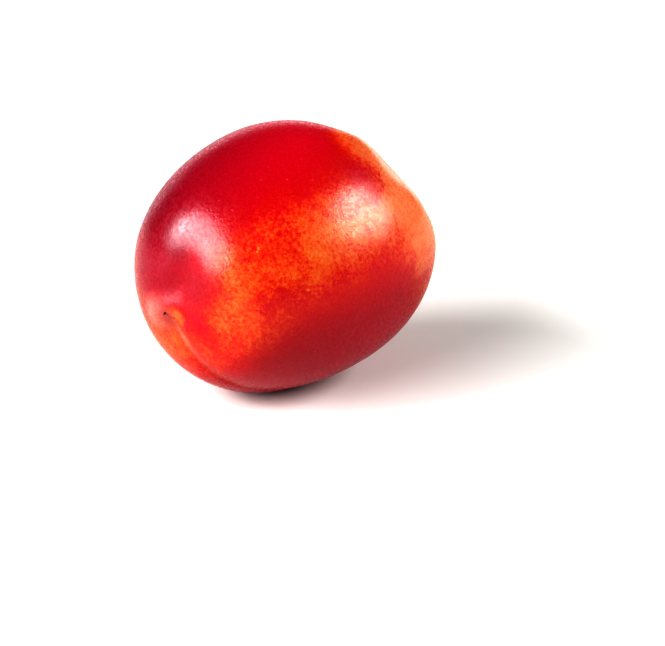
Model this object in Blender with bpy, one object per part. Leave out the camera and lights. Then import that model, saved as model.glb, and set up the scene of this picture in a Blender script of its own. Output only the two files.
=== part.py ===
"""A ripe nectarine as picked, lying on its side, with the short woody stub of its stalk in the hollow.

Frame: metres, +Z up. The origin is the centre of the small flat spot that the fruit rests on.
The core axis runs from the tip, at -X, to the stalk, at +X, and the tip hangs a little lower.

The fruit is modelled standing up in its own core frame: local Z is the core axis, towards the
stalk, and local X points to the suture, the groove down one side. An empty then lays it down.
"""

import math

import bmesh
import bpy
from mathutils import Matrix, Vector

# Driving dimensions of the fruit, in metres.
CORE_TO_TIP = 0.0365
GIRTH_RADIUS = 0.0344
SUTURE_SIDE_FULLER = 0.0004
CHEEKS_FLATTER = 0.0003
STALK_END_LEAN = 0.0076  # the shoulder on the suture side stands this much higher
STALK_END_SADDLE = 0.0021  # the shoulder dips this much over each cheek
LOBE_HEIGHT = 0.0015  # the two swellings beside the suture, at the stalk end
HOLLOW_DEPTH = 0.0140
GROOVE_DEPTH_AT_ENDS = 0.0011
GROOVE_DEPTH_AT_GIRTH = 0.0005
GROOVE_HALF_WIDTH = 0.0030
GROOVE_PAST_TIP = 0.0050  # how far the groove runs on over the tip
SUTURE_ASIDE = 0.0012  # the groove's end at the tip lies this far to one side of the core axis
SUTURE_BOW = 0.0025  # and the groove bows further to that side as it leaves the tip
SHOULDERS = (  # swellings beside the hollow, on one cheek: middle, radius, height
    ((-0.0150, -0.0238, 0.0190), 0.0068, 0.0014),
    ((0.0030, -0.0262, 0.0245), 0.0045, 0.0007),
)
TIP_FOLDS = (  # middle x, middle y, height, half length, half width, turn: the nub and the dents round it
    (-0.0011, 0.0025, 0.0017, 0.0032, 0.0052, 0.08),
    (-0.0020, -0.0082, -0.0009, 0.0115, 0.0057, -0.31),
    (-0.0043, -0.0056, -0.0016, 0.0049, 0.0121, -0.71),
)

# Shares of the girth, which shape the side view.
TAPER_TO_TIP = 0.058
TAPER_LESS_AT_SUTURE = 0.057
BELLY_FLATTENING = 0.075

# Angles at the fruit's middle, measured from the stalk, in radians.
HOLLOW_ANGLE = 0.33
HOLLOW_STEEPNESS = 2.2
LOBE_ANGLE, LOBE_SPREAD = 0.68, 0.30
LOBE_FROM_SUTURE, LOBE_SIDE_SPREAD = 1.09, 0.45

# How the fruit lies, in degrees, and how far its own weight has flattened the round.
TIP_DROP = 5.6
SUTURE_ROLL = 33.0
REST_SINK = 0.0006

# The stub of the stalk. Its root sits in a socket in the floor of the hollow.
STUB_LENGTH = 0.0078
STUB_RADIUS = 0.0021
COLLAR_RADIUS = 0.0030
ROOT_RADIUS = 0.0025
ROOT_DEPTH = 0.0012
CLEARANCE = 0.0003
STUB_TILT = 6.0  # degrees, towards the suture
BARK_RIDGES, RIDGE_SHARE = 5, 0.06

# Mesh fineness.
MERIDIANS, RINGS = 64, 44
CROWDING_AT_SUTURE, CROWDING_AT_ENDS = 0.6, 0.22
STUB_SIDES = 20
MERGE_DISTANCE = 1e-6


def bell(x, spread):
    """1 at x = 0, falling smoothly to 0 within a few spreads."""
    return math.exp(-((x / spread) ** 2))


def smooth_step(x, low, high):
    """0 below low, 1 above high, with a smooth rise between them."""
    share = min(1.0, max(0.0, (x - low) / (high - low)))
    return share * share * (3 - 2 * share)


def round_body(angle, turn):
    """The fruit without its groove: angle is measured from the stalk, turn from the suture."""
    along, out = math.cos(angle), math.sin(angle)
    stalk_end = (1 + along) / 2
    lobe = bell(angle - LOBE_ANGLE, LOBE_SPREAD) * bell(abs(turn) - LOBE_FROM_SUTURE, LOBE_SIDE_SPREAD)
    taper = TAPER_TO_TIP - TAPER_LESS_AT_SUTURE * math.cos(turn)
    girth = GIRTH_RADIUS + SUTURE_SIDE_FULLER * math.cos(turn) + CHEEKS_FLATTER * math.cos(2 * turn)
    radius = girth * out * (1 + taper * along + BELLY_FLATTENING * math.cos(2 * angle))
    radius *= 1 + LOBE_HEIGHT * lobe / CORE_TO_TIP
    height = CORE_TO_TIP * along
    height -= HOLLOW_DEPTH * math.exp(-((angle / HOLLOW_ANGLE) ** HOLLOW_STEEPNESS))
    height += STALK_END_LEAN * math.cos(turn) * out * stalk_end
    height += STALK_END_SADDLE * math.cos(2 * turn) * out**2 * stalk_end
    height += LOBE_HEIGHT * lobe
    return Vector((radius * math.cos(turn), radius * math.sin(turn), height))


def groove_depth(point, angle):
    """How deep the suture is pressed in: deepest at the two ends, fading out just past the tip."""
    middle = (SUTURE_ASIDE + SUTURE_BOW * math.sin(angle)) * (1 - math.cos(angle)) / 2
    across = bell(point.y - middle, GROOVE_HALF_WIDTH)
    along = smooth_step(point.x, -GROOVE_PAST_TIP, GROOVE_PAST_TIP / 2)
    deeper = (GROOVE_DEPTH_AT_ENDS - GROOVE_DEPTH_AT_GIRTH) * math.cos(angle) ** 2
    return (GROOVE_DEPTH_AT_GIRTH + deeper) * across * along


def swelling(point):
    """How far the shoulders by the hollow and the folds round the tip stand out or press in."""
    out = sum(height * bell((point - Vector(middle)).length, radius) for middle, radius, height in SHOULDERS)
    at_tip = smooth_step(-point.z, 0, CORE_TO_TIP / 2)
    for x, y, height, half_length, half_width, turn in TIP_FOLDS:
        east, north = point.x - x, point.y - y
        along = east * math.cos(turn) + north * math.sin(turn)
        across = north * math.cos(turn) - east * math.sin(turn)
        out += at_tip * height * bell(along, half_length) * bell(across, half_width)
    return out


def skin_point(angle, turn):
    """A point of the finished skin: the round body with its groove and swellings."""
    point = round_body(angle, turn)
    return point + point.normalized() * (swelling(point) - groove_depth(point, angle))


def laid_down():
    """Turns the core frame so that the fruit lies as it rests."""
    to_side = Matrix.Rotation(math.radians(90 - TIP_DROP), 4, "Y")
    return to_side @ Matrix.Rotation(math.radians(-SUTURE_ROLL), 4, "Z")


def new_object(name, bm, parent):
    """Makes a mesh object from bm, held by the core empty."""
    bmesh.ops.recalc_face_normals(bm, faces=bm.faces)
    mesh = bpy.data.meshes.new(name)
    bm.to_mesh(mesh)
    bm.free()
    mesh.shade_smooth()
    obj = bpy.data.objects.new(name, mesh)
    bpy.context.scene.collection.objects.link(obj)
    obj.parent = parent
    return obj


def add_material(obj, name, colour, roughness):
    """Gives obj a plain Principled BSDF."""
    material = bpy.data.materials.new(name)
    material.use_nodes = True
    shader = material.node_tree.nodes["Principled BSDF"]
    shader.inputs["Base Color"].default_value = (*colour, 1.0)
    shader.inputs["Roughness"].default_value = roughness
    obj.data.materials.append(material)


def fruit_mesh(down):
    """The fruit in its core frame, with the rest spot cut flat. Returns it and the spot's centre."""
    bm = bmesh.new()
    bmesh.ops.create_uvsphere(bm, u_segments=MERIDIANS, v_segments=RINGS, radius=1.0)
    for vertex in bm.verts:
        angle = math.acos(max(-1.0, min(1.0, vertex.co.z)))
        turn = math.atan2(vertex.co.y, vertex.co.x)
        angle -= CROWDING_AT_ENDS * math.sin(2 * angle)
        turn -= CROWDING_AT_SUTURE * math.sin(turn)
        vertex.co = skin_point(angle, turn)
    lowest = max(vertex.co.dot(down) for vertex in bm.verts)
    everything = bm.verts[:] + bm.edges[:] + bm.faces[:]
    cut = bmesh.ops.bisect_plane(
        bm, geom=everything, plane_co=down * (lowest - REST_SINK), plane_no=down, clear_outer=True
    )
    rim = [edge for edge in cut["geom_cut"] if isinstance(edge, bmesh.types.BMEdge)]
    for edge in rim:
        edge.smooth = False
    spot = bmesh.ops.contextual_create(bm, geom=rim)["faces"][0]
    return bm, spot.calc_center_median_weighted()


def stub_profile():
    """The stub's side, from the middle of its root up to the middle of its broken end."""
    return (
        (0.0, -ROOT_DEPTH),
        (ROOT_RADIUS, -ROOT_DEPTH),
        (ROOT_RADIUS, 0.0002),
        (COLLAR_RADIUS, 0.0010),
        (0.95 * COLLAR_RADIUS, 0.0020),
        (1.05 * STUB_RADIUS, 0.0032),
        (STUB_RADIUS, 0.65 * STUB_LENGTH),
        (1.10 * STUB_RADIUS, 0.88 * STUB_LENGTH),
        (0.96 * STUB_RADIUS, STUB_LENGTH),
        (0.0, 0.98 * STUB_LENGTH),
    )


def stub_mesh():
    """The stub, standing on its root at the floor of the hollow, with shallow ridges up its bark."""
    bm = bmesh.new()
    side = [bm.verts.new((radius, 0, height)) for radius, height in stub_profile()]
    edges = [bm.edges.new(pair) for pair in zip(side, side[1:])]
    bmesh.ops.spin(
        bm, geom=side + edges, cent=(0, 0, 0), axis=(0, 0, 1), angle=2 * math.pi, steps=STUB_SIDES
    )
    bmesh.ops.remove_doubles(bm, verts=bm.verts, dist=MERGE_DISTANCE)
    for vertex in bm.verts:
        if vertex.co.z > 0:
            turn = math.atan2(vertex.co.y, vertex.co.x)
            reach = 1 + RIDGE_SHARE * (math.cos(BARK_RIDGES * turn) - 1) / 2
            vertex.co = Vector((vertex.co.x * reach, vertex.co.y * reach, vertex.co.z))
    for edge in bm.edges:
        edge.smooth = edge.calc_face_angle() < math.radians(40)
    return bm


def socket_mesh():
    """A plug a little wider and deeper than the stub's root, which cuts its socket."""
    bm = bmesh.new()
    length = 4 * ROOT_DEPTH
    radius = ROOT_RADIUS + CLEARANCE
    bmesh.ops.create_cone(
        bm, cap_ends=True, segments=STUB_SIDES, radius1=radius, radius2=radius, depth=length
    )
    bmesh.ops.translate(bm, verts=bm.verts, vec=(0, 0, length / 2 - ROOT_DEPTH - CLEARANCE))
    return bm


def build():
    """Empties the scene, then makes the fruit and the stub and lays them down on the flat spot."""
    for old in list(bpy.data.objects):
        bpy.data.objects.remove(old)
    pose = laid_down()
    down = pose.to_3x3().inverted() @ Vector((0, 0, -1))
    fruit_bm, spot = fruit_mesh(down)

    core = bpy.data.objects.new("core", None)
    bpy.context.scene.collection.objects.link(core)
    core.matrix_world = Matrix.Translation(-(pose @ spot)) @ pose

    fruit = new_object("fruit", fruit_bm, core)
    add_material(fruit, "skin", (0.60, 0.03, 0.03), 0.30)

    floor_of_hollow = Vector((0, 0, CORE_TO_TIP - HOLLOW_DEPTH))
    stub_place = Matrix.Translation(floor_of_hollow) @ Matrix.Rotation(math.radians(STUB_TILT), 4, "Y")
    stub = new_object("stem_stub", stub_mesh(), core)
    stub.matrix_local = stub_place
    add_material(stub, "bark", (0.16, 0.10, 0.05), 0.85)

    socket = new_object("stub_socket_cutter", socket_mesh(), core)
    socket.matrix_local = stub_place
    socket.hide_render = True
    socket.display_type = "WIRE"
    cut = fruit.modifiers.new("stub_socket", "BOOLEAN")
    cut.operation = "DIFFERENCE"
    cut.solver = "EXACT"
    cut.object = socket


build()
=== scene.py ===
"""A ripe nectarine lying on its side, with the dry stub of its stalk in the hollow.

The fruit's skin is one fine mesh, shaped in the fruit's own core frame: Z is the core axis, towards
the stalk, and X points to the suture. It is then laid down over the CAD node that it stands for.
Lengths are in metres, except in the finishes, which are laid out in millimetres of the core frame.
"""

import math

import bmesh
import bpy
import numpy as np
from mathutils import Matrix, Vector, noise


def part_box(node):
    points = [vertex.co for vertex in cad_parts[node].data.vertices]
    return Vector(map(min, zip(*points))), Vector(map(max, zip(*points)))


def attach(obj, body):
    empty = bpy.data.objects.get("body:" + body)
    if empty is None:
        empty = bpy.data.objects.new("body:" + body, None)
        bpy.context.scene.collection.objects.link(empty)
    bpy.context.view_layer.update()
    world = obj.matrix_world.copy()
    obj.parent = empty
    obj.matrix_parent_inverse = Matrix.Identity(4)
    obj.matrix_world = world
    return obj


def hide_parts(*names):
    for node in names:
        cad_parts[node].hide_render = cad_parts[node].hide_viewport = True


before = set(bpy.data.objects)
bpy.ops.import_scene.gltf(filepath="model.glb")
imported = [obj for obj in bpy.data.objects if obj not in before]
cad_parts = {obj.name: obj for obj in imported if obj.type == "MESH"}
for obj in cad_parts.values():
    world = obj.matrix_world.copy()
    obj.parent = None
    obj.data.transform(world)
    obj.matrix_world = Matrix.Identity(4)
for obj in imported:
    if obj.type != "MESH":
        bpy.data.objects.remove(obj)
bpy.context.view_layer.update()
FRUIT_LOW, FRUIT_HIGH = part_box("fruit")

# ---------------------------------------------------------------- the fruit's driving dimensions
CORE_TO_TIP = 0.0365
GIRTH_RADIUS = 0.0344
SUTURE_SIDE_FULLER = 0.0004
CHEEKS_FLATTER = 0.0003
STALK_END_LEAN = 0.0076
STALK_END_SADDLE = 0.0021
LOBE_HEIGHT = 0.0015
HOLLOW_DEPTH = 0.0140
TAPER_TO_TIP = 0.058
TAPER_LESS_AT_SUTURE = 0.057
BELLY_FLATTENING = 0.075
HOLLOW_ANGLE = 0.33
HOLLOW_STEEPNESS = 2.2
LOBE_ANGLE, LOBE_SPREAD = 0.68, 0.30
LOBE_FROM_SUTURE, LOBE_SIDE_SPREAD = 1.09, 0.45
TIP_DROP = 5.6
SUTURE_ROLL = 33.0

# ---------------------------------------------------------------- fine shape that only the skin has
SKIN_CUTS = 117
CROWDING_AT_ENDS = 0.28
VALLEY_DEPTH = 0.0006
VALLEY_HALF_WIDTH = 0.0045
CREASE_DEPTH_AT_ENDS = 0.0007
CREASE_DEPTH_AT_GIRTH = 0.0003
CREASE_HALF_WIDTH = 0.0012
CREASE_PAST_TIP = 0.0055
CREASE_WANDER, CREASE_BENDS = 0.0002, 7
SUTURE_ASIDE = 0.0012  # the tip and the suture's end lie this far to one side of the core axis
SUTURE_BOW = 0.0025  # and the suture bows further to that side as it leaves the tip
SHOULDERS = (  # swellings beside the stalk's hollow: middle, radius, height
    ((-0.0150, -0.0238, 0.0190), 0.0068, 0.0014),
    ((0.0030, -0.0262, 0.0245), 0.0045, 0.0007),
)
DENTS = (  # the unevenness of a thing that grew: size across, height, where in the noise
    (0.0160, 0.00022, (0, 0, 0)),
    (0.0050, 0.00004, (7, 3, 5)),
)
PLEAT_DEPTH, PLEAT_ANGLE, PLEAT_SPREAD = 0.00016, 0.30, 0.15
PLEATS = (  # how many go round the stalk, how far they wander, how often, share of the depth
    (9, 1.3, 2, 1.0),
    (23, 2.0, 3, 0.5),
)
TIP_FOLDS = (  # middle x, middle y, height, half length, half width, turn: the nub and the dents round it
    (-0.0011, 0.0025, 0.0017, 0.0032, 0.0052, 0.08),
    (-0.0020, -0.0082, -0.0009, 0.0115, 0.0057, -0.31),
    (-0.0043, -0.0056, -0.0016, 0.0049, 0.0121, -0.71),
)

# ---------------------------------------------------------------- the stalk's stub and the tip's scar
# Ridges, lumps and creases are shares of the radius that they stand on.
STUB_LENGTH = 0.0078
STUB_ROOT = 0.0012
STUB_TILT = 6.0
STUB_PROFILE = (  # height above the hollow's floor, radius
    (-0.0012, 0.0025),
    (0.0002, 0.0026),
    (0.0009, 0.0030),
    (0.0020, 0.0028),
    (0.0032, 0.0022),
    (0.0050, 0.0021),
    (0.0068, 0.0023),
    (0.0078, 0.0020),
)
PROFILE_SOFTENING = 3  # each radius is averaged with this many rings on either side
STUB_SIDES, STUB_RINGS, END_RINGS = 96, 100, 16
COLLAR_HEIGHT, COLLAR_SPREAD, COLLAR_LUMPS = 0.0014, 0.0009, 0.15
RING_SCAR_HEIGHT, RING_SCAR_SPREAD, RING_SCAR_DEPTH = 0.0034, 0.00018, 0.05
RING_SCAR_GAPS, RING_SCAR_GAP_DEPTH = 3, 0.5
BARK_RIDGES, BARK_RIDGE_HEIGHT = 5, 0.035
BARK_CORDS, BARK_CORD_HEIGHT, BARK_CORD_TWIST = 13, 0.015, 300
BARK_ROUGHNESS = 0.06
LUMP_NOISE = (1.4, 900, 9)  # how fine round the stub, how fine along it, where in the noise
BARK_NOISE = (2.6, 450, 0)
TORN_RIM, TORN_MIDDLE = 0.97, 0.06  # shares of the rim where the torn end's rings start and end
TEARS = (  # ridges and splinters: how fine, where in the noise, height
    (1600, 3.0, 0.00045),
    (5200, 8.0, 0.00022),
)
TORN_RISE = 0.0001
PITH_DEPTH, PITH_SPREAD = 0.0005, 0.3
SCAR_PLACE = (-0.0007, 0.0014)
SCAR_SIDES, SCAR_ROWS = 28, 16
SCAR_RADIUS, SCAR_HEIGHT, SCAR_ROOT = 0.00042, 0.0008, 0.0003
SCAR_TAPER, SCAR_TAPER_POWER = 0.72, 0.7
SCAR_CREASES, SCAR_CREASE_DEPTH, SCAR_TWIST = 5, 0.14, 2
SCAR_LEAN = 0.0003
SCAR_TOP_BUMPS, SCAR_TOP_BUMP_HEIGHT = 3, 0.0001


def bell(x, spread):
    """1 at x = 0, falling smoothly to 0 within a few spreads."""
    return np.exp(-((x / spread) ** 2))


def smooth_step(x, low, high):
    """0 below low, 1 above high, with a smooth rise between them."""
    share = np.clip((x - low) / (high - low), 0, 1)
    return share * share * (3 - 2 * share)


def round_body(angle, turn):
    """Points of the fruit without its groove: angle is measured from the stalk, turn from the suture."""
    along, out = np.cos(angle), np.sin(angle)
    stalk_end = (1 + along) / 2
    lobe = bell(angle - LOBE_ANGLE, LOBE_SPREAD) * bell(np.abs(turn) - LOBE_FROM_SUTURE, LOBE_SIDE_SPREAD)
    taper = TAPER_TO_TIP - TAPER_LESS_AT_SUTURE * np.cos(turn)
    girth = GIRTH_RADIUS + SUTURE_SIDE_FULLER * np.cos(turn) + CHEEKS_FLATTER * np.cos(2 * turn)
    radius = girth * out * (1 + taper * along + BELLY_FLATTENING * np.cos(2 * angle))
    radius *= 1 + LOBE_HEIGHT * lobe / CORE_TO_TIP
    height = CORE_TO_TIP * along
    height -= HOLLOW_DEPTH * np.exp(-((angle / HOLLOW_ANGLE) ** HOLLOW_STEEPNESS))
    height += STALK_END_LEAN * np.cos(turn) * out * stalk_end
    height += STALK_END_SADDLE * np.cos(2 * turn) * out**2 * stalk_end
    height += LOBE_HEIGHT * lobe
    return np.stack((radius * np.cos(turn), radius * np.sin(turn), height), axis=1)


def laid_down():
    """Turns the core frame so that the fruit lies as it rests."""
    to_side = Matrix.Rotation(math.radians(90 - TIP_DROP), 4, "Y")
    return to_side @ Matrix.Rotation(math.radians(-SUTURE_ROLL), 4, "Z")


def suture_relief(points, angle):
    """How far the suture presses in (negative) or its lips stand out (positive) at each point."""
    middle = (SUTURE_ASIDE + SUTURE_BOW * np.sin(angle)) * (1 - np.cos(angle)) / 2
    middle += CREASE_WANDER * np.sin(CREASE_BENDS * angle) * np.sin(angle)
    off = np.abs(points[:, 1] - middle)
    along = smooth_step(points[:, 0], -CREASE_PAST_TIP, CREASE_PAST_TIP / 2)
    ends = np.cos(angle) ** 2
    crease = CREASE_DEPTH_AT_GIRTH + (CREASE_DEPTH_AT_ENDS - CREASE_DEPTH_AT_GIRTH) * ends
    relief = -VALLEY_DEPTH * bell(off, VALLEY_HALF_WIDTH)
    relief -= crease * bell(off, CREASE_HALF_WIDTH)
    return relief * along


def tip_relief(points):
    """The little nub at the tip and the two shallow dents beside it, which only the tip's end has."""
    relief = np.zeros(len(points))
    for x, y, height, half_length, half_width, turn in TIP_FOLDS:
        east, north = points[:, 0] - x, points[:, 1] - y
        along = east * math.cos(turn) + north * math.sin(turn)
        across = north * math.cos(turn) - east * math.sin(turn)
        relief += height * bell(along, half_length) * bell(across, half_width)
    return relief * smooth_step(-points[:, 2], 0, CORE_TO_TIP / 2)


def hollow_relief(angle, turn):
    """Soft pleats that run out from the stalk down the sides of its hollow."""
    pleats = np.zeros(len(turn))
    for count, wander, bends, share in PLEATS:
        pleats += share * np.cos(count * turn + wander * np.sin(bends * turn))
    return PLEAT_DEPTH * pleats * bell(angle - PLEAT_ANGLE, PLEAT_SPREAD)


def swell(points):
    """The gentle unevenness of a thing that grew: two soft shoulders, and dents of two sizes."""
    rise = np.zeros(len(points))
    for middle, radius, height in SHOULDERS:
        rise += height * bell(np.linalg.norm(points - middle, axis=1), radius)
    for size, height, start in DENTS:
        dents = [noise.noise(Vector(point) / size + Vector(start)) for point in points]
        rise += height * np.array(dents)
    return rise


def build_skin():
    """The skin as one closed mesh: a cube's grid blown up round, pulled to the fruit's shape, laid down.

    The mesh is lined up with the world, its origin at the middle of the core, and the part of it that
    would reach below the table is pressed flat, which is the spot that the fruit rests on.
    """
    bm = bmesh.new()
    bmesh.ops.create_cube(bm, size=2.0)
    bmesh.ops.subdivide_edges(bm, edges=bm.edges[:], cuts=SKIN_CUTS, use_grid_fill=True)
    mesh = bpy.data.meshes.new("fruit_skin")
    bm.to_mesh(mesh)
    bm.free()
    grid = np.empty(len(mesh.vertices) * 3)
    mesh.vertices.foreach_get("co", grid)
    ball = np.tan(grid.reshape(-1, 3) * math.pi / 4)
    ball /= np.linalg.norm(ball, axis=1)[:, None]
    angle = np.arccos(np.clip(ball[:, 2], -1, 1))
    angle -= CROWDING_AT_ENDS * np.sin(2 * angle)
    turn = np.arctan2(ball[:, 1], ball[:, 0])
    points = round_body(angle, turn)
    relief = suture_relief(points, angle) + tip_relief(points) + hollow_relief(angle, turn) + swell(points)
    points += points / np.linalg.norm(points, axis=1)[:, None] * relief[:, None]
    points = points @ np.array(laid_down().to_3x3()).T
    low, high = points.min(axis=0), points.max(axis=0)
    middle = (FRUIT_LOW + FRUIT_HIGH) / 2
    core = Vector((middle.x - (low[0] + high[0]) / 2, middle.y - (low[1] + high[1]) / 2, 0))
    core.z = FRUIT_HIGH.z - high[2]
    points[:, 2] = np.maximum(points[:, 2], FRUIT_LOW.z - core.z)
    mesh.vertices.foreach_set("co", points.ravel())
    mesh.shade_smooth()
    skin = bpy.data.objects.new("fruit_skin", mesh)
    bpy.context.scene.collection.objects.link(skin)
    skin.location = core
    return skin


def ring_points(reach, turn, height, lean=0.0):
    """One ring of a turned piece: its reach and height at each turn, and how far it leans to one side."""
    height = np.broadcast_to(height, turn.shape)
    return np.stack((reach * np.cos(turn) + lean, reach * np.sin(turn), height), axis=1)


def turned_mesh(name, rings, finishes):
    """A closed piece from rings of points, bottom ring first, with the finish that each ring starts."""
    count, sides, _ = rings.shape
    low, high = rings[0].mean(axis=0), rings[-1].mean(axis=0)
    around = np.arange(sides)
    after = (around + 1) % sides
    faces = [(count * sides, b, a) for a, b in zip(around, after)]
    for row in range(count - 1):
        base = row * sides
        faces += [(base + a, base + b, base + sides + b, base + sides + a) for a, b in zip(around, after)]
    top = (count - 1) * sides
    faces += [(top + a, top + b, count * sides + 1) for a, b in zip(around, after)]
    mesh = bpy.data.meshes.new(name)
    mesh.from_pydata([tuple(p) for p in (*rings.reshape(-1, 3), low, high)], [], faces)
    mesh.shade_smooth()
    finish_of_face = [finish for finish in (finishes[0], *finishes) for _ in around]
    mesh.polygons.foreach_set("material_index", finish_of_face)
    piece = bpy.data.objects.new(name, mesh)
    bpy.context.scene.collection.objects.link(piece)
    return piece


def noise_round_stub(turn, height, fineness_round, fineness_along, start):
    """Noise at each point of one of the stub's rings, without a seam."""
    along = height * fineness_along + start
    circle = zip(fineness_round * np.cos(turn), fineness_round * np.sin(turn))
    return np.array([noise.noise(Vector((x, y, along))) for x, y in circle])


def build_stub(skin):
    """The woody stalk's stub: a knobbly collar, ridged bark and an end torn off the twig."""
    turn = np.linspace(0, 2 * math.pi, STUB_SIDES, endpoint=False)
    heights = np.linspace(-STUB_ROOT, STUB_LENGTH, STUB_RINGS)
    radii = np.interp(heights, *zip(*STUB_PROFILE))
    span = 2 * PROFILE_SOFTENING + 1
    radii = np.convolve(np.pad(radii, PROFILE_SOFTENING, mode="edge"), np.full(span, 1 / span), mode="valid")
    rings = []
    for height, radius in zip(heights, radii):
        ridges = BARK_RIDGE_HEIGHT * np.cos(BARK_RIDGES * turn)
        ridges += BARK_CORD_HEIGHT * np.cos(BARK_CORDS * turn + BARK_CORD_TWIST * height)
        ridges += BARK_ROUGHNESS * noise_round_stub(turn, height, *BARK_NOISE)
        collar = COLLAR_LUMPS * bell(height - COLLAR_HEIGHT, COLLAR_SPREAD)
        ridges += collar * noise_round_stub(turn, height, *LUMP_NOISE)
        ring_scar = RING_SCAR_DEPTH * bell(height - RING_SCAR_HEIGHT, RING_SCAR_SPREAD)
        ridges -= ring_scar * (1 + RING_SCAR_GAP_DEPTH * np.cos(RING_SCAR_GAPS * turn))
        rings.append(ring_points(radius * (1 + ridges), turn, height))
    rim = rings[-1]
    for share in np.linspace(TORN_RIM, TORN_MIDDLE, END_RINGS):
        ring = rim * (share, share, 1.0)
        for fineness, start, height in TEARS:
            torn = [noise.noise(Vector((x * fineness, y * fineness, start))) for x, y, _ in ring]
            ring[:, 2] += height * np.array(torn)
        ring[:, 2] += TORN_RISE - PITH_DEPTH * bell(share, PITH_SPREAD)
        rings.append(ring)
    stub = turned_mesh("stalk_stub", np.array(rings), [0] * STUB_RINGS + [1] * END_RINGS)
    hollow_floor = Matrix.Translation((0, 0, CORE_TO_TIP - HOLLOW_DEPTH))
    core = Matrix.Translation(skin.location) @ laid_down()
    stub.matrix_world = core @ hollow_floor @ Matrix.Rotation(math.radians(STUB_TILT), 4, "Y")
    return stub


def build_tip_scar(skin):
    """The dry brown peg that the flower left on the fruit's tip."""
    turn = np.linspace(0, 2 * math.pi, SCAR_SIDES, endpoint=False)
    rings = []
    for share in np.linspace(0, 1, SCAR_ROWS):
        creases = SCAR_CREASE_DEPTH * np.cos(SCAR_CREASES * turn + SCAR_TWIST * share)
        reach = SCAR_RADIUS * (1 - SCAR_TAPER * share**SCAR_TAPER_POWER) * (1 + creases)
        bumps = SCAR_TOP_BUMP_HEIGHT * share * np.cos(SCAR_TOP_BUMPS * turn)
        height = SCAR_HEIGHT * share - SCAR_ROOT + bumps
        rings.append(ring_points(reach, turn, height, SCAR_LEAN * share**2))
    scar = turned_mesh("tip_scar", np.array(rings), [0] * SCAR_ROWS)
    outside = laid_down() @ Vector((*SCAR_PLACE, -2 * CORE_TO_TIP))
    _, spot, _, _ = skin.ray_cast(outside, laid_down() @ Vector((0, 0, 1)))
    tip_up = laid_down() @ Matrix.Rotation(math.pi, 4, "X")
    scar.matrix_world = Matrix.Translation(skin.location + spot) @ tip_up
    return scar


def view_axes(azimuth, elevation):
    """Right, up and back of someone who looks at the origin from that azimuth and elevation."""
    a, e = math.radians(azimuth), math.radians(elevation)
    right = Vector((math.cos(a), math.sin(a), 0))
    back = Vector((math.sin(a) * math.cos(e), -math.cos(a) * math.cos(e), math.sin(e)))
    return right, back.cross(right), back


# ---------------------------------------------------------------- finishes
MATH, MAP, MIX, NOISE = "ShaderNodeMath", "ShaderNodeMapRange", "ShaderNodeMix", "ShaderNodeTexNoise"
SOFT = {"interpolation_type": "SMOOTHSTEP"}
NOISE_MIDDLE = 0.5
MM_PER_METRE = 1000


def linear(colour):
    """A hex sRGB colour as linear red, green, blue and alpha."""
    parts = [int(colour[i : i + 2], 16) / 255 for i in (1, 3, 5)]
    return [p / 12.92 if p <= 0.04045 else ((p + 0.055) / 1.055) ** 2.4 for p in parts] + [1.0]


def new_material(name):
    """An empty node material."""
    material = bpy.data.materials.new(name)
    material.use_nodes = True
    material.node_tree.nodes.clear()
    return material


def add_node(material, kind, links, stops=(), **settings):
    """Adds a node with its settings. links holds its inputs, in order or by name: values or outputs."""
    tree = material.node_tree
    node = tree.nodes.new(kind)
    for name, value in settings.items():
        setattr(node, name, value)
    for place, colour in stops:
        node.color_ramp.elements.new(place).color = linear(colour)
    if stops:
        node.color_ramp.elements.remove(node.color_ramp.elements[0])
        node.color_ramp.elements.remove(node.color_ramp.elements[-1])
    for key, value in links.items() if isinstance(links, dict) else enumerate(links):
        if isinstance(value, bpy.types.NodeSocket):
            tree.links.new(value, node.inputs[key])
        else:
            node.inputs[key].default_value = value
    return node.outputs


def millimetres(material, stretch=(1, 1, 1)):
    """The point on the piece in its own frame, in millimetres, drawn out or squeezed along its axes."""
    local = add_node(material, "ShaderNodeTexCoord", ())["Object"]
    scale = [MM_PER_METRE * s for s in stretch]
    return add_node(material, "ShaderNodeVectorMath", (local, scale), operation="MULTIPLY")["Vector"]


def closeness(material, mm, place, core, edge):
    """1 within the core radius of a place, fading to 0 at the edge radius, in millimetres."""
    far = add_node(material, "ShaderNodeVectorMath", (mm, place), operation="DISTANCE")["Value"]
    return add_node(material, MAP, (far, core, edge, 1.0, 0.0), **SOFT)["Result"]


# ---------------------------------------------------------------- the skin's colours, in millimetres
# Blush by its distance in millimetres into the red (positive) or the orange band (negative).
BLUSH_STOPS = (
    (-15, "#c87a42"),
    (-10, "#c86b32"),
    (-6, "#c65a26"),
    (-2.5, "#c2441c"),
    (0.5, "#bc2a18"),
    (3.5, "#b41218"),
    (8, "#b20025"),
    (14, "#b40030"),
)
BLUSH_LOW, BLUSH_HIGH = -17.0, 16.0
BAND_TOP, BAND_BOTTOM, BAND_EDGE_BLEND = -7.5, 11.3, 2.0
STIPPLE = (  # clouds, clumps and grains: size across, detail, roughness, how far they push the blush
    (12, 1.0, 0.5, 6),
    (4.5, 2.0, 0.6, 15),
    (0.9, 3.0, 0.9, 44),
)
STREAK_FINENESS, STREAK_TWIST = 14.0, 0.02
RAY_FINENESS, RAY_REACH = 9.0, 9.0
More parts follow.
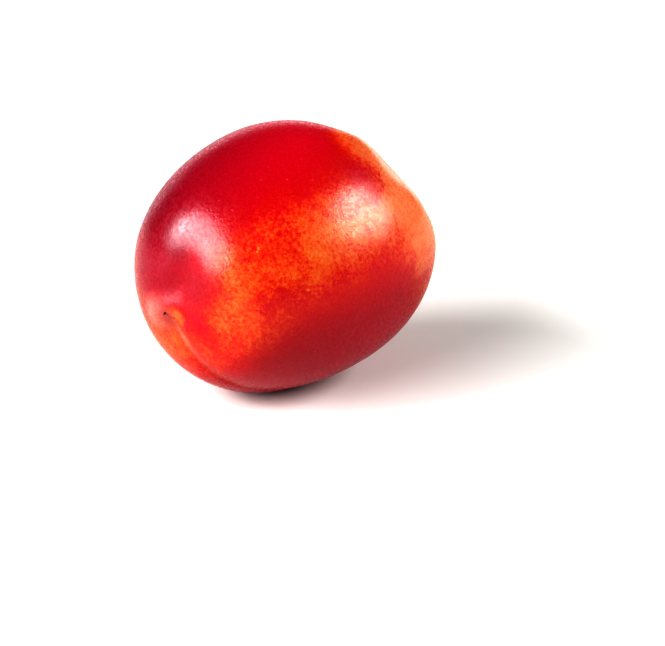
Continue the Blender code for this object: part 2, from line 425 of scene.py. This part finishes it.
# Each ramp is where it starts, where it ends and what it gives at either end.
TIP_RED = (-35.5, -29.0, 14.0, 0.0)  # along the core: the red reaches over the tip
BAND_TOP_ACROSS = (-8.0, 14.0, BAND_TOP, BAND_TOP - 14.0)  # the band is wider on the far cheek
BAND_BOTTOM_ALONG = (-28.0, -20.0, BAND_BOTTOM + 3.2, BAND_BOTTOM)  # and hangs lower at the tip
STALK_END_ORANGE = (8.0, 21.0, 0.0, -13.0)  # along the core: the blush gives way to orange
STIPPLE_IN_RED = (-1.0, 7.0, 1.0, 0.35)  # by the blush: full red hides most of the stipple
STREAKS_BY_STALK = (6.0, 18.0, 0.0, 20.0)  # along the core
PALE_SHOULDER = (0.0, 20.0, 0.0, 0.62)  # along the core: the orange is paler towards the stalk
ORANGE_START, ORANGE_FULL = -1.0, -10.0  # by the blush
SUNNED_AND_SHADE = (-1.0, 36.0, 0.0, 0.74)  # towards the sun: the sun-side crimson, deepened with painted shade
PAINTED_SHADE_SUTURE_SIDE = (11.0, 24.0, 0.0, 0.35)  # towards the suture: painted shade, darker on the lower suture side
HOLLOW_GOLD = (8.0, -1.0, 0.0, 0.85)  # out from the core
THROAT_GREEN = (1.0, -3.0, 0.0, 0.6)
HOLLOW_SIDE = 10.0  # the hollow's colours stay beyond this, along the core
RUSSET_AND_SHEEN_LINE = (1.0, 0.2, 0.0, 1.0)  # out from the suture's middle
RUSSET_AND_SHEEN_FROM_TIP = (0.0, 5.0, 0.0, 0.5)  # towards the suture
DOT_SPACING, DOTTED_SHARE = 2.4, 0.5
DOT = (0.05, 0.12, 0.3, 0.0)  # out from the dot's middle, in spacings
SKIN_BUMPS = ((3.5, 0.045), (1.2, 0.018), (0.5, 0.045))  # size across, height
WAX_GRAIN = 0.8
WAX_ROUGHNESS = (0.35, 0.65, 0.22, 0.38)  # from the wax's smooth grains to its dull ones
CLOUD_CORE, FLECK_CORE, PATCH_CORE = 0.3, 0.4, 0.2  # the share of each radius that is at full strength
TO_SUN_AND_SHADE = (-0.76, 0.36, -0.54)  # where the sun was as the fruit hung and ripened: the darkest crimson, deepened with painted shade
CLOUDS = (  # where the red is denser (positive) or thinner (negative): place, radius, strength
    ((-0.8, -27.4, -19.0), 7.0, 4.0),
    ((6.0, -22.4, -26.2), 8.5, 7.0),
    ((7.2, -5.0, -35.0), 7.0, 5.0),
    ((-3.5, -30.5, -8.0), 8.0, -2.0),
    ((-6.5, -30.0, 11.0), 8.5, 7.5),
    ((-16.0, -24.5, 16.5), 11.0, -8.5),
    ((5.8, -28.6, -14.0), 6.0, -3.0),
    ((0.1, -0.8, -35.6), 2.3, -11.0),
    ((1.9, -1.6, -35.4), 2.5, -11.0),
)
PAINTED_REFLECTION_AND_SHADE_SPOTS = (  # a painted reflection on the lobe by the suture's end and spots of painted shade: place, radius, cover, colour
    # painted reflection: the pale floor's salmon sheen on the lobe beside the suture's end
    ((-1.4, 4.4, -35.2), 6.5, 0.36, "#dd9a8c"),
    # painted shade: darker crimson in the dent by the tip, under the left highlight and on the far left
    ((-2.5, -10.0, -34.0), 8.0, 0.5, "#7a0026"),
    ((-15.0, -9.5, -30.2), 8.0, 0.5, "#5c0020"),
    ((-25.0, 1.0, -26.0), 13.0, 0.25, "#4e0020"),
)
FLECKS = (  # pale scuffs in the skin: place and radius, in millimetres
    ((-4.0, -24.6, -23.4), 0.55),
    ((-3.5, -24.2, -23.9), 0.45),
    ((9.5, -26.5, -17.5), 0.4),
    ((14.0, 22.0, -18.0), 0.6),
    ((-21.0, 17.0, -12.0), 0.5),
    ((24.0, -9.0, 14.0), 0.5),
)


def blush(skin, mm):
    """How far into the red each place lies, in millimetres: the band, the stalk end and the stipple."""
    axes = add_node(skin, "ShaderNodeSeparateXYZ", (mm,))
    x, y, z = axes["X"], axes["Y"], axes["Z"]
    at_tip = add_node(skin, MAP, (z, *TIP_RED), **SOFT)["Result"]
    across = add_node(skin, MAP, (y, *BAND_TOP_ACROSS), **SOFT)["Result"]
    band_top = add_node(skin, MATH, (at_tip, across), operation="ADD")["Value"]
    band_bottom = add_node(skin, MAP, (z, *BAND_BOTTOM_ALONG), **SOFT)["Result"]
    above = add_node(skin, MATH, (band_top, x), operation="SUBTRACT")["Value"]
    below = add_node(skin, MATH, (x, band_bottom), operation="SUBTRACT")["Value"]
    red = add_node(skin, MATH, (above, below, BAND_EDGE_BLEND), operation="SMOOTH_MAX")["Value"]
    stalk_end = add_node(skin, MAP, (z, *STALK_END_ORANGE), **SOFT)["Result"]
    red = add_node(skin, MATH, (red, stalk_end), operation="ADD")["Value"]

    full = add_node(skin, MAP, (red, *STIPPLE_IN_RED), **SOFT)["Result"]
    mottle = 0.0
    for size, detail, roughness, strength in STIPPLE:
        links = {"Vector": mm, "Scale": 1 / size, "Detail": detail, "Roughness": roughness}
        grain = add_node(skin, NOISE, links)["Fac"]
        grain = add_node(skin, MATH, (grain, NOISE_MIDDLE), operation="SUBTRACT")["Value"]
        mottle = add_node(skin, MATH, (grain, strength, mottle), operation="MULTIPLY_ADD")["Value"]
    red = add_node(skin, MATH, (mottle, full, red), operation="MULTIPLY_ADD")["Value"]

    # Red streaks run down from the stalk into the pale shoulder.
    flat = add_node(skin, "ShaderNodeVectorMath", (mm, (1, 1, 0)), operation="MULTIPLY")["Vector"]
    rays = add_node(skin, "ShaderNodeVectorMath", (flat,), operation="NORMALIZE")["Vector"]
    links = (mm, (STREAK_TWIST,) * 3, rays)
    rays = add_node(skin, "ShaderNodeVectorMath", links, operation="MULTIPLY_ADD")["Vector"]
    links = {"Vector": rays, "Scale": STREAK_FINENESS, "Detail": 3.0, "Roughness": 0.7}
    streaks = add_node(skin, NOISE, links)["Fac"]
    streaks = add_node(skin, MATH, (streaks, NOISE_MIDDLE), operation="SUBTRACT")["Value"]
    by_stalk = add_node(skin, MAP, (z, *STREAKS_BY_STALK), **SOFT)["Result"]
    red = add_node(skin, MATH, (streaks, by_stalk, red), operation="MULTIPLY_ADD")["Value"]
    for place, radius, strength in CLOUDS:
        cloud = closeness(skin, mm, place, CLOUD_CORE * radius, radius)
        red = add_node(skin, MATH, (cloud, strength, red), operation="MULTIPLY_ADD")["Value"]
    return red, x, y, z


def suture_russet_and_sheen(skin, x, y, z):
    """How much of the suture's thin line shows, along the same curve as its crease: partly russet, partly
    painted sheen on the crease's lip.
    """
    links = (z, -0.5 / (MM_PER_METRE * CORE_TO_TIP), 0.5)
    down = add_node(skin, MATH, links, operation="MULTIPLY_ADD")["Value"]
    up = add_node(skin, MATH, (1.0, down), operation="SUBTRACT")["Value"]
    bow = add_node(skin, MATH, (down, up), operation="MULTIPLY")["Value"]
    bow = add_node(skin, MATH, (bow, 0.5), operation="POWER")["Value"]
    links = (bow, 2 * MM_PER_METRE * SUTURE_BOW, MM_PER_METRE * SUTURE_ASIDE)
    bow = add_node(skin, MATH, links, operation="MULTIPLY_ADD")["Value"]
    line = add_node(skin, MATH, (bow, down), operation="MULTIPLY")["Value"]
    beside = add_node(skin, MATH, (y, line), operation="SUBTRACT")["Value"]
    beside = add_node(skin, MATH, (beside,), operation="ABSOLUTE")["Value"]
    russet_and_sheen = add_node(skin, MAP, (beside, *RUSSET_AND_SHEEN_LINE), **SOFT)["Result"]
    from_tip = add_node(skin, MAP, (x, *RUSSET_AND_SHEEN_FROM_TIP), **SOFT)["Result"]
    return add_node(skin, MATH, (russet_and_sheen, from_tip), operation="MULTIPLY")["Value"]


def skin_colour(skin, mm):
    """Orange ground, stippled red and crimson, with the hollow's gold, the suture's russet and painted sheen,
    dots, painted shade and a painted reflection.
    """
    red, x, y, z = blush(skin, mm)
    share = add_node(skin, MAP, (red, BLUSH_LOW, BLUSH_HIGH))["Result"]
    span = BLUSH_HIGH - BLUSH_LOW
    stops = [((place - BLUSH_LOW) / span, colour) for place, colour in BLUSH_STOPS]
    colour = add_node(skin, "ShaderNodeValToRGB", (share,), stops=stops)["Color"]

    pale = add_node(skin, MAP, (z, *PALE_SHOULDER), **SOFT)["Result"]
    ground = add_node(skin, MAP, (red, ORANGE_START, ORANGE_FULL, 0.0, pale), **SOFT)["Result"]
    # darker towards the sun side: the real crimson blush, deepened with painted shade
    sunned_and_shade = add_node(skin, "ShaderNodeVectorMath", (mm, TO_SUN_AND_SHADE), operation="DOT_PRODUCT")["Value"]
    sunned_and_shade = add_node(skin, MAP, (sunned_and_shade, *SUNNED_AND_SHADE), **SOFT)["Result"]
    # painted shade: darker towards the lower suture side
    painted_shade_suture_side = add_node(skin, MAP, (x, *PAINTED_SHADE_SUTURE_SIDE), **SOFT)["Result"]

    flat = add_node(skin, "ShaderNodeVectorMath", (mm, (1, 1, 0)), operation="MULTIPLY")["Vector"]
    out = add_node(skin, "ShaderNodeVectorMath", (flat,), operation="LENGTH")["Value"]
    rays = add_node(skin, "ShaderNodeVectorMath", (flat,), operation="NORMALIZE")["Vector"]
    rays = add_node(skin, NOISE, {"Vector": rays, "Scale": RAY_FINENESS, "Detail": 2.0})["Fac"]
    out = add_node(skin, MATH, (rays, -RAY_REACH, out), operation="MULTIPLY_ADD")["Value"]
    hollow = add_node(skin, MAP, (out, *HOLLOW_GOLD), **SOFT)["Result"]
    throat = add_node(skin, MAP, (out, *THROAT_GREEN), **SOFT)["Result"]
    top_end = add_node(skin, MATH, (z, HOLLOW_SIDE), operation="GREATER_THAN")["Value"]
    hollow = add_node(skin, MATH, (hollow, top_end), operation="MULTIPLY")["Value"]
    throat = add_node(skin, MATH, (throat, top_end), operation="MULTIPLY")["Value"]

    russet_and_sheen = suture_russet_and_sheen(skin, x, y, z)

    # The pale dots are the skin's pores. Real ones, 0.2 mm across, are too fine to show in the render,
    # so these are drawn 0.6 mm across.
    cells = add_node(skin, "ShaderNodeTexVoronoi", {"Vector": mm, "Scale": 1 / DOT_SPACING})
    dot = add_node(skin, MAP, (cells["Distance"], *DOT), **SOFT)["Result"]
    pick = add_node(skin, "ShaderNodeSeparateXYZ", (cells["Color"],))["X"]
    pick = add_node(skin, MATH, (pick, 1 - DOTTED_SHARE), operation="GREATER_THAN")["Value"]
    dot = add_node(skin, MATH, (dot, pick), operation="MULTIPLY")["Value"]

    layers = [
        (ground, "#cc7650"),
        # the sun-side crimson, deepened with painted shade where less light falls
        (sunned_and_shade, "#4e0020"),
        # painted shade: dark red laid over the lower suture side
        (painted_shade_suture_side, "#560002"),
        (hollow, "#cf9038"),
        (throat, "#8f8a35"),
        # the suture's line: partly russet, partly painted sheen on the crease's lip
        (russet_and_sheen, "#a97067"),
        (dot, "#e0808a"),
    ]
    for place, radius in FLECKS:
        layers.append((closeness(skin, mm, place, FLECK_CORE * radius, radius), "#cf7a48"))
    # painted reflection and spots of painted shade
    for place, radius, cover, over in PAINTED_REFLECTION_AND_SHADE_SPOTS:
        near = closeness(skin, mm, place, PATCH_CORE * radius, radius)
        layers.append((add_node(skin, MATH, (near, cover), operation="MULTIPLY")["Value"], over))
    for cover, over in layers:
        links = {"Factor": cover, "A": colour, "B": linear(over)}
        colour = add_node(skin, MIX, links, data_type="RGBA")["Result"]
    return colour


def skin_material():
    """Nectarine skin: thin, hairless and waxed, over flesh that glows a little through it.

    The side away from the suture took the sun and is crimson, deepened there with painted shade.
    The lower suture side and a few spots are darkened with painted shade, the lobe by the suture's end
    has a painted reflection, and the suture's pale line is partly painted sheen. A band along the near
    cheek stayed orange, stippled with red, and so did the stalk end. The wax gives a soft, grainy shine:
    its real grain is too fine to show, so the finest bumps are drawn half a millimetre across.
    """
    skin = new_material("waxy_nectarine_skin")
    mm = millimetres(skin)
    links = {"Vector": mm, "Rotation": laid_down().to_euler()}
    mm = add_node(skin, "ShaderNodeVectorRotate", links, rotation_type="EULER_XYZ", invert=True)["Vector"]
    height = 0.0
    for size, depth in SKIN_BUMPS:
        grain = add_node(skin, NOISE, {"Vector": mm, "Scale": 1 / size, "Detail": 1.0})["Fac"]
        height = add_node(skin, MATH, (grain, depth, height), operation="MULTIPLY_ADD")["Value"]
    links = {"Height": height, "Distance": 1 / MM_PER_METRE, "Strength": 1.0}
    normal = add_node(skin, "ShaderNodeBump", links)["Normal"]
    grain = add_node(skin, NOISE, {"Vector": mm, "Scale": 1 / WAX_GRAIN, "Detail": 2.0})["Fac"]
    shader = add_node(
        skin,
        "ShaderNodeBsdfPrincipled",
        {
            "Base Color": skin_colour(skin, mm),
            "Roughness": add_node(skin, MAP, (grain, *WAX_ROUGHNESS), **SOFT)["Result"],
            "Normal": normal,
            "IOR": 1.5,
            "Subsurface Weight": 0.1,
            "Subsurface Radius": (1.0, 0.25, 0.1),
            "Subsurface Scale": 0.003,
        },
    )["BSDF"]
    add_node(skin, "ShaderNodeOutputMaterial", {"Surface": shader})
    return skin


def woody_material(name, stretch, grains, stops, roughness, relief):
    """Dry plant wood: a streaked colour and a furrowed surface from the same grain.

    Each grain is its size across in millimetres and its weight. The relief is in metres.
    """
    wood = new_material(name)
    mm = millimetres(wood, stretch)
    height = 0.0
    for size, weight in grains:
        links = {"Vector": mm, "Scale": 1 / size, "Detail": 3.0, "Roughness": 0.6}
        grain = add_node(wood, NOISE, links)["Fac"]
        height = add_node(wood, MATH, (grain, weight, height), operation="MULTIPLY_ADD")["Value"]
    colour = add_node(wood, "ShaderNodeValToRGB", (height,), stops=stops)["Color"]
    links = {"Height": height, "Distance": relief, "Strength": 1.0}
    normal = add_node(wood, "ShaderNodeBump", links)["Normal"]
    links = {"Base Color": colour, "Roughness": roughness, "Normal": normal, "IOR": 1.5}
    shader = add_node(wood, "ShaderNodeBsdfPrincipled", links)["BSDF"]
    add_node(wood, "ShaderNodeOutputMaterial", {"Surface": shader})
    return wood


def bark_material():
    """Young stalk bark, weathered: brown with grey and olive streaks that run along it, and matt."""
    return woody_material(
        "weathered_stalk_bark",
        stretch=(1, 1, 0.25),
        grains=((0.5, 0.6), (1.6, 0.4)),
        stops=((0.30, "#2e2015"), (0.43, "#5b4028"), (0.52, "#7d6039"), (0.62, "#9b8458"), (0.75, "#b3a27e")),
        roughness=0.8,
        relief=0.0004,
    )


def torn_wood_material():
    """The torn end of the stalk: dry pale wood with darker fibres, rough and quite matt."""
    return woody_material(
        "torn_stalk_wood",
        stretch=(1, 1, 0.3),
        grains=((0.3, 0.6), (1.0, 0.4)),
        stops=((0.32, "#6e4a28"), (0.45, "#a67c4b"), (0.58, "#c9a470"), (0.72, "#dcc298")),
        roughness=0.88,
        relief=0.0003,
    )


def dried_flower_material():
    """What is left of the flower on the tip: shrivelled, nearly black brown and matt."""
    return woody_material(
        "dried_flower_end",
        stretch=(1, 1, 0.5),
        grains=((0.25, 0.6), (0.7, 0.4)),
        stops=((0.35, "#2c160b"), (0.55, "#553018"), (0.7, "#8a5c34")),
        roughness=0.85,
        relief=0.0002,
    )


# ---------------------------------------------------------------- floor, light and camera
CAMERA_AZIMUTH, CAMERA_ELEVATION = -47.5, 24.0
LENS_MM, SENSOR_MM = 100.0, 36.0
CAMERA_DISTANCE = 0.4505
FRUIT_LEFT_OF_AIM, FRUIT_ABOVE_AIM = 0.01344, 0.01617
FLOOR_HALF_WIDTH = 3.0
FLOOR_GAP = 0.00005  # keeps the table's face clear of the fruit's flat spot
ROOM_GLOW = 0.08
LIGHT_DISTANCE = 1.5
SOFT_BOXES = (  # degrees round from the line of sight, degrees up, width, height, radiance
    ("soft_box_left", -65, 27.5, 1.9, 1.2, 7.5),
    ("soft_box_left_middle", -84, 28, 0.6, 0.5, 6.0),
    ("soft_box_right", 94, 28.5, 0.9, 0.9, 9.6),
    ("back_wall", 180, 5, 2.8, 0.42, 0.9),
    ("back_right", 152, 3, 0.8, 0.4, 1.3),
)


def add_floor():
    """A plain pale tabletop of matt white card that runs on past the view."""
    bm = bmesh.new()
    bmesh.ops.create_grid(bm, x_segments=1, y_segments=1, size=FLOOR_HALF_WIDTH)
    mesh = bpy.data.meshes.new("floor")
    bm.to_mesh(mesh)
    bm.free()
    floor = bpy.data.objects.new("floor", mesh)
    bpy.context.scene.collection.objects.link(floor)
    floor.location.z = FRUIT_LOW.z - FLOOR_GAP
    card = new_material("white_card")
    shader = add_node(card, "ShaderNodeBsdfDiffuse", {"Color": linear("#dddcda")})["BSDF"]
    add_node(card, "ShaderNodeOutputMaterial", {"Surface": shader})
    mesh.materials.append(card)


def add_soft_box(name, azimuth, elevation, width, height, radiance):
    """A round or oval soft light that faces the fruit from that side of the camera's line of sight."""
    right, up, back = view_axes(CAMERA_AZIMUTH + azimuth, elevation)
    box = bpy.data.objects.new(name, bpy.data.lights.new(name, "AREA"))
    bpy.context.scene.collection.objects.link(box)
    box.data.shape = "ELLIPSE"
    box.data.size, box.data.size_y = width, height
    box.data.energy = radiance * math.pi * (math.pi / 4 * width * height)
    turn = Matrix((right, up, back)).transposed().to_4x4()
    box.matrix_world = Matrix.Translation((FRUIT_LOW + FRUIT_HIGH) / 2 + back * LIGHT_DISTANCE) @ turn


def add_light():
    """A dim pale room with soft lights.

    A wide one on the left has a brighter middle, and a smaller one stands on the right. Low pale
    walls behind and to the back right show in the fruit's far rims.
    """
    room = bpy.data.worlds.new("studio")
    room.use_nodes = True
    room.node_tree.nodes.clear()
    links = {"Color": (1, 1, 1, 1), "Strength": ROOM_GLOW}
    shell = add_node(room, "ShaderNodeBackground", links)["Background"]
    add_node(room, "ShaderNodeOutputWorld", {"Surface": shell})
    bpy.context.scene.world = room
    for soft_box in SOFT_BOXES:
        add_soft_box(*soft_box)


def add_camera(fruit_middle):
    """Looks down on the fruit's tip end and near cheek."""
    right, up, back = view_axes(CAMERA_AZIMUTH, CAMERA_ELEVATION)
    camera = bpy.data.objects.new("camera", bpy.data.cameras.new("camera"))
    bpy.context.scene.collection.objects.link(camera)
    camera.data.lens = LENS_MM
    camera.data.sensor_width = SENSOR_MM
    place = fruit_middle + right * FRUIT_LEFT_OF_AIM - up * FRUIT_ABOVE_AIM + back * CAMERA_DISTANCE
    turn = Matrix((right, up, back)).transposed().to_4x4()
    camera.matrix_world = Matrix.Translation(place) @ turn
    bpy.context.scene.camera = camera


# Strong contrast with deep middle tones, which suits glossy fruit on a white table.
bpy.context.scene.view_settings.view_transform = "Standard"
bpy.context.scene.view_settings.look = "Very High Contrast"
bpy.context.scene.view_settings.gamma = 0.8
skin = build_skin()
skin.data.materials.append(skin_material())
stub = build_stub(skin)
stub.data.materials.append(bark_material())
stub.data.materials.append(torn_wood_material())
scar = build_tip_scar(skin)
scar.data.materials.append(dried_flower_material())
for piece, slot in ((skin, "skin"), (stub, "bark"), (scar, "bark")):
    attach(piece, "root")
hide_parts("fruit")
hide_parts("stem_stub")
add_floor()
add_light()
add_camera(skin.location)
